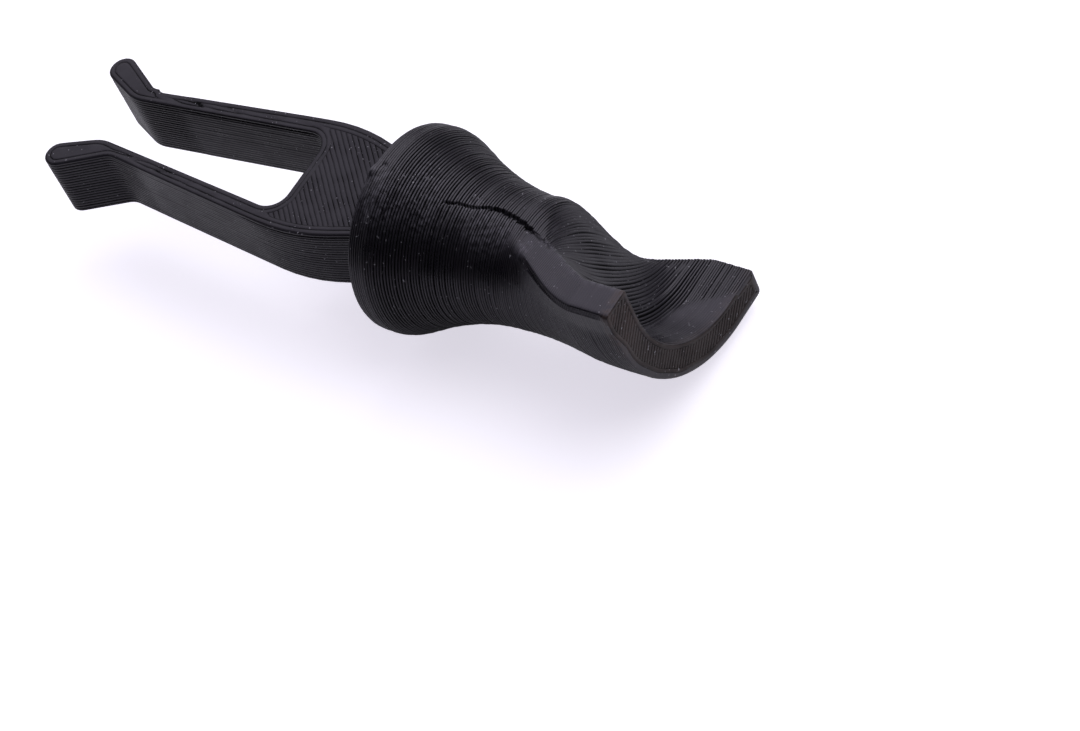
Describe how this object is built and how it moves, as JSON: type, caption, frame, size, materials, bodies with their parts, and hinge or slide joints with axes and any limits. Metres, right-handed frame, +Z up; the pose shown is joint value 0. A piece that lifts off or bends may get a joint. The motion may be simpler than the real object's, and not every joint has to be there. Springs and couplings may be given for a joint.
{
  "type": "clay stamp",
  "caption": "Small printed clay stamp: a round-collared head that turns into a curved stamping band, on a flat fork with two springy hooked prongs that plugs into its back.",
  "frame": {"origin": "Under the middle of the tool's length and width, at the level of the lowest point of the round collar.", "axes": "+X along the tool from the fork's tips to the stamping face, +Y across the fork, +Z up, square to the fork's flat faces."},
  "size_m": [0.0592, 0.0168, 0.0168],
  "materials": {
    "printed_plastic": "satin black, with printed layer lines"
  },
  "bodies": {
    "head": {"stamp_head": "printed_plastic"},
    "fork": {"fork_clip": "printed_plastic"}
  },
  "joints": [
    {"name": "fork_pull", "type": "slide", "parent": "head", "child": "fork", "axis": [-1, 0, 0], "range_m": [0, 0.0073]}
  ]
}
